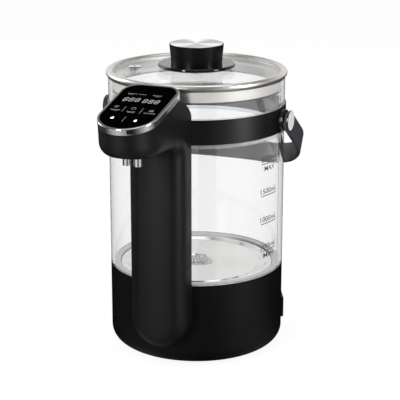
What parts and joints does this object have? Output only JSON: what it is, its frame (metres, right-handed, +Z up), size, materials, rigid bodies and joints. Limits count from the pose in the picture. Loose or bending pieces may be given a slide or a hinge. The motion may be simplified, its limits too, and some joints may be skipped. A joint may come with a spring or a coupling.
{
  "type": "electric thermo pot",
  "caption": "Glass hot-water dispenser: round heated base, glass jar with a lift-off lid, swinging carry handle and a pump column with a touch head and twin spouts.",
  "frame": {"origin": "on the jar's axis, on the plane the rubber feet stand on", "axes": "+Z up, -Y towards the spouts, +X along the handle's pivot axis to the right as seen from the spouts"},
  "size_m": [0.1836, 0.2727, 0.2841],
  "materials": {
    "base_plastic": "satin black",
    "column_plastic": "satin black",
    "inner_plastic": "moulded",
    "pale_plastic": "moulded",
    "rubber": "matte",
    "silicone_dark": "satin",
    "silicone_clear": "clear",
    "hose": "milky",
    "jar_glass": "clear",
    "lid_glass": "clear",
    "panel_glass": "black glass",
    "steel": "polished",
    "bright_ring": "satin",
    "band": "gloss black",
    "handle": "satin grey",
    "knob_black": "gloss black",
    "knob_top": "turned",
    "spreader": "cast",
    "element": "heated",
    "screws": "zinc plated",
    "board": "solder mask",
    "components": "moulded",
    "brass": "turned",
    "display": "frosted"
  },
  "bodies": {
    "base": {"base_housing": "base_plastic", "bottom_plate": "inner_plastic", "rubber_feet": "rubber", "bottom_screws": "screws", "jar_seat": "silicone_dark", "glass_jar": "jar_glass", "heating_plate": "steel", "strainer": "steel", "heat_spreader": "spreader", "heating_element": "element", "thermal_cutouts": "components", "temperature_sensor": "brass", "drain_fitting": "inner_plastic", "suction_hose": "hose", "pump_housing": "pale_plastic", "pump_motor": "steel", "pump_cradle": "inner_plastic", "riser_hose": "hose", "spout_block": "inner_plastic", "spout_left": "steel", "spout_right": "steel", "power_board": "board", "board_standoffs": "inner_plastic", "board_components": "components", "display_cable": "inner_plastic", "power_inlet": "inner_plastic", "inlet_pins": "brass", "collar_liner": "silicone_clear", "collar_band": "band", "pivot_boss_left": "band", "pivot_boss_right": "band", "pivot_cap_left": "bright_ring", "pivot_cap_right": "bright_ring", "column_shell": "column_plastic", "column_screws": "screws", "rear_cover": "column_plastic", "trim_ring": "bright_ring", "sensor_window": "panel_glass", "touch_panel": "panel_glass", "display_board": "board", "digit_modules": "display", "touch_springs": "brass"},
    "bail": {"bail_handle": "handle"},
    "lid": {"lid_rim": "steel", "lid_seal": "silicone_dark", "lid_glass": "lid_glass", "steam_vent": "steel", "knob_flange": "knob_black", "knob_body": "knob_black", "knob_disc": "knob_top", "knob_gasket": "silicone_dark", "knob_screw": "screws"},
    "impeller": {"pump_impeller": "pale_plastic"}
  },
  "joints": [
    {"name": "bail_swing", "type": "hinge", "parent": "base", "child": "bail", "pos_m": [0, 0, 0.2197], "axis": [1, 0, 0], "range_deg": [0, 125]},
    {"name": "lid_lift", "type": "slide", "parent": "base", "child": "lid", "axis": [0, 0, 1], "range_m": [0, 0.012]},
    {"name": "impeller_spin", "type": "hinge", "parent": "base", "child": "impeller", "pos_m": [0, -0.038, 0.026], "axis": [0, 1, 0], "continuous": true}
  ]
}
